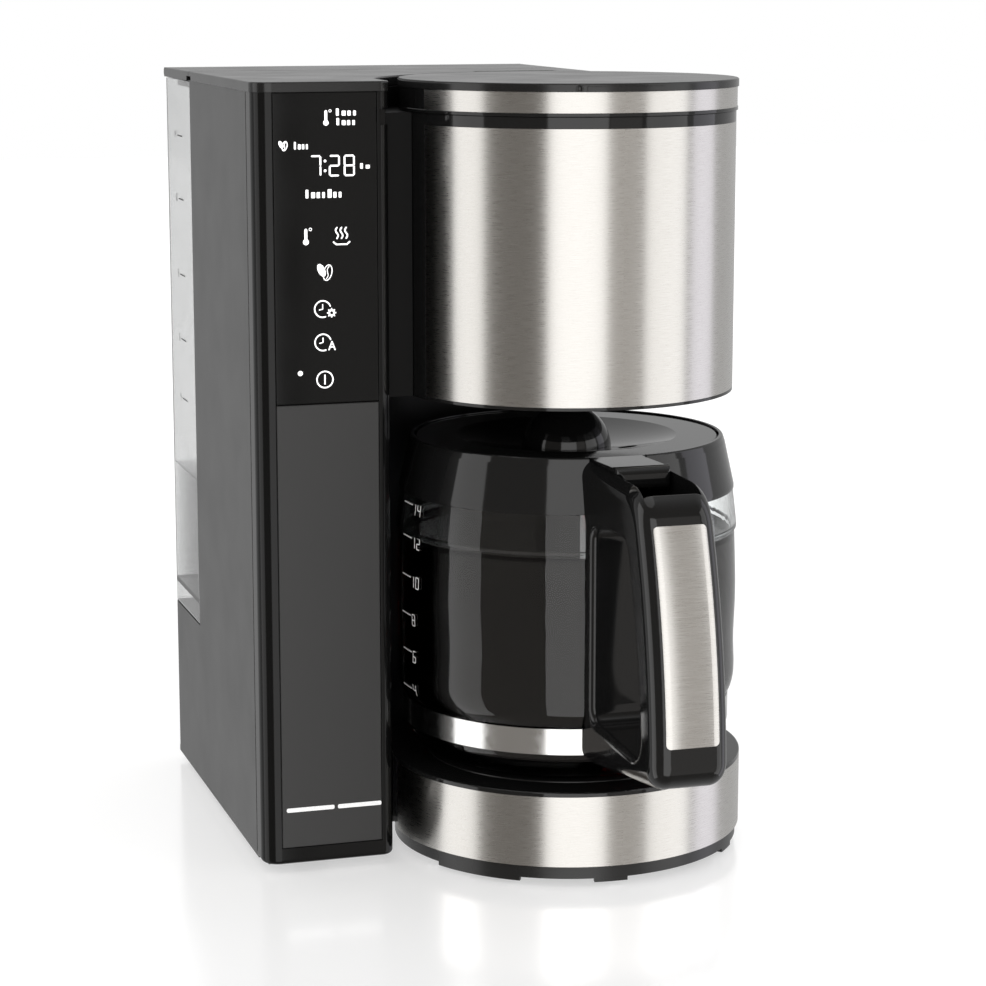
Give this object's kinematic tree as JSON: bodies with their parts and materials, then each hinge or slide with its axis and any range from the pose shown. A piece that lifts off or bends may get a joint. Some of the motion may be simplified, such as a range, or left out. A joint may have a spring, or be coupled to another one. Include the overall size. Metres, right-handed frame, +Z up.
{
  "type": "drip coffee maker",
  "caption": "Drip coffee maker with a side tower of controls, a round brew head, a warming base, a rear water reservoir and a glass carafe with a handle and lid.",
  "frame": {"origin": "middle of the bounding box's underside, on the plane that the feet stand on", "axes": "+Z up, front of the machine and carafe handle towards -Y, control tower on the -X side"},
  "size_m": [0.2364, 0.3566, 0.362],
  "materials": {
    "gloss_black": "polished black ABS",
    "satin_black": "satin black ABS",
    "charcoal_satin": "satin charcoal ABS",
    "inner_black": "black polypropylene",
    "brushed_stainless": "stainless sheet, brushed round the drum",
    "polished_strap": "polished stainless strip",
    "zinc_steel": "zinc-plated steel",
    "spring_steel": "stainless spring wire",
    "carafe_glass": "clear borosilicate glass",
    "clear_plastic": "clear copolyester",
    "natural_plastic": "natural polypropylene",
    "silicone": "milky silicone",
    "black_rubber": "black rubber",
    "plate_coating": "black non-stick coating",
    "cast_aluminium": "bare aluminium",
    "board_green": "soldered circuit board"
  },
  "bodies": {
    "housing": {"base_pan": "satin_black", "feet": "black_rubber", "case_screws": "zinc_steel", "tower_frame": "gloss_black", "side_panel": "charcoal_satin", "tower_wall": "satin_black", "front_panel": "charcoal_satin", "control_panel": "gloss_black", "bay_wall": "satin_black", "neck_casing": "satin_black", "rear_casing": "satin_black", "rear_column": "satin_black", "cord_gland": "black_rubber", "top_cover": "gloss_black", "reservoir": "clear_plastic", "tank_strainer": "natural_plastic", "heater_tube": "cast_aluminium", "heating_element": "cast_aluminium", "heater_clamp": "zinc_steel", "thermostats": "zinc_steel", "thermal_fuse": "zinc_steel", "cold_hose": "silicone", "check_valve": "natural_plastic", "inlet_hose": "silicone", "riser_tube": "silicone", "outlet_nozzle": "natural_plastic", "head_shell": "gloss_black", "head_band": "brushed_stainless", "brew_basket": "inner_black", "drip_stop_spring": "spring_steel", "base_ring": "gloss_black", "base_band": "brushed_stainless", "base_top": "gloss_black", "warming_plate": "plate_coating", "display_module": "inner_black", "control_board": "board_green", "power_board": "board_green"},
    "brew_lid": {"brew_lid_cap": "gloss_black", "brew_lid_liner": "gloss_black", "brew_lid_band": "brushed_stainless", "brew_lid_pins": "zinc_steel", "shower_head": "inner_black"},
    "reservoir_lid": {"reservoir_lid": "gloss_black", "reservoir_lid_pins": "zinc_steel"},
    "carafe": {"carafe_glass": "carafe_glass", "carafe_collar": "gloss_black", "carafe_strap": "polished_strap", "carafe_handle": "gloss_black", "handle_screw": "zinc_steel", "handle_insert": "brushed_stainless", "carafe_lid_pin": "zinc_steel"},
    "carafe_lid": {"carafe_lid": "gloss_black"},
    "drip_stop": {"drip_stop_valve": "inner_black", "drip_stop_seal": "silicone"}
  },
  "joints": [
    {"name": "brew_lid_hinge", "type": "hinge", "parent": "housing", "child": "brew_lid", "pos_m": [0.0348, 0.073, 0.3597], "axis": [-1, 0, 0], "range_deg": [0, 95]},
    {"name": "reservoir_lid_hinge", "type": "hinge", "parent": "housing", "child": "reservoir_lid", "pos_m": [0.0348, 0.176, 0.3597], "axis": [-1, 0, 0], "range_deg": [0, 100]},
    {"name": "carafe_slide", "type": "slide", "parent": "housing", "child": "carafe", "axis": [0, -1, 0], "range_m": [0, 0.19]},
    {"name": "carafe_lid_hinge", "type": "hinge", "parent": "carafe", "child": "carafe_lid", "pos_m": [0.0348, -0.088, 0.1896], "axis": [1, 0, 0], "range_deg": [0, 4]},
    {"name": "drip_stop_slide", "type": "slide", "parent": "housing", "child": "drip_stop", "axis": [0, 0, 1], "range_m": [0, 0.0055], "stiffness_N_per_m": 150, "springref_m": -0.004, "deforming": ["drip_stop_spring"]}
  ],
  "couplings": [
    {"joint": "drip_stop_slide", "follows": "carafe_lid_hinge", "m_per_rad": 0.076}
  ]
}
